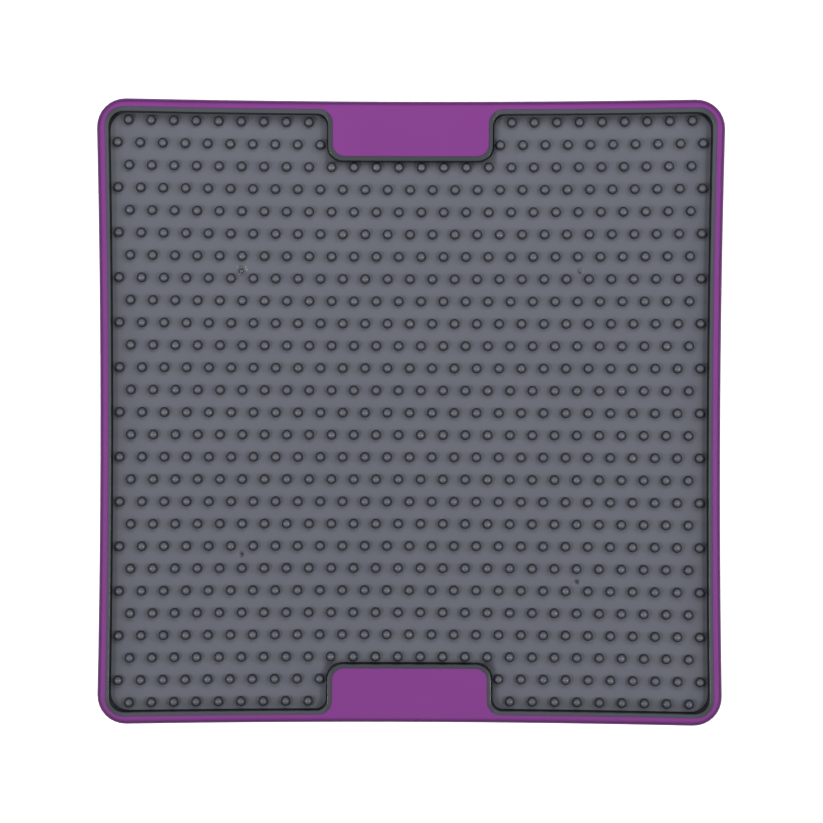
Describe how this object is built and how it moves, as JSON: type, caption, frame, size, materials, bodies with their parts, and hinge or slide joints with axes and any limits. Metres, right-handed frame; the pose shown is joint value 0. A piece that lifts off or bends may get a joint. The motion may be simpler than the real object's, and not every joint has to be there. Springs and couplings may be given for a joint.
{
  "type": "lick mat",
  "caption": "Square low plastic tray with a rounded rim and flat grips on opposite sides, holding a rubber mat whose floor is covered in small domed nubs.",
  "frame": {"origin": "middle of the underside, on the surface that the tray stands on", "axes": "+X to the right and +Y up in the picture, so that the grips lie at -Y and +Y; +Z up out of the nubbed face"},
  "size_m": [0.1996, 0.1996, 0.01],
  "materials": {
    "tray": "purple moulded polypropylene, satin",
    "mat": "grey moulded thermoplastic rubber, matt with a soft sheen"
  },
  "bodies": {
    "root": {"tray": "tray", "mat": "mat"}
  },
  "joints": []
}
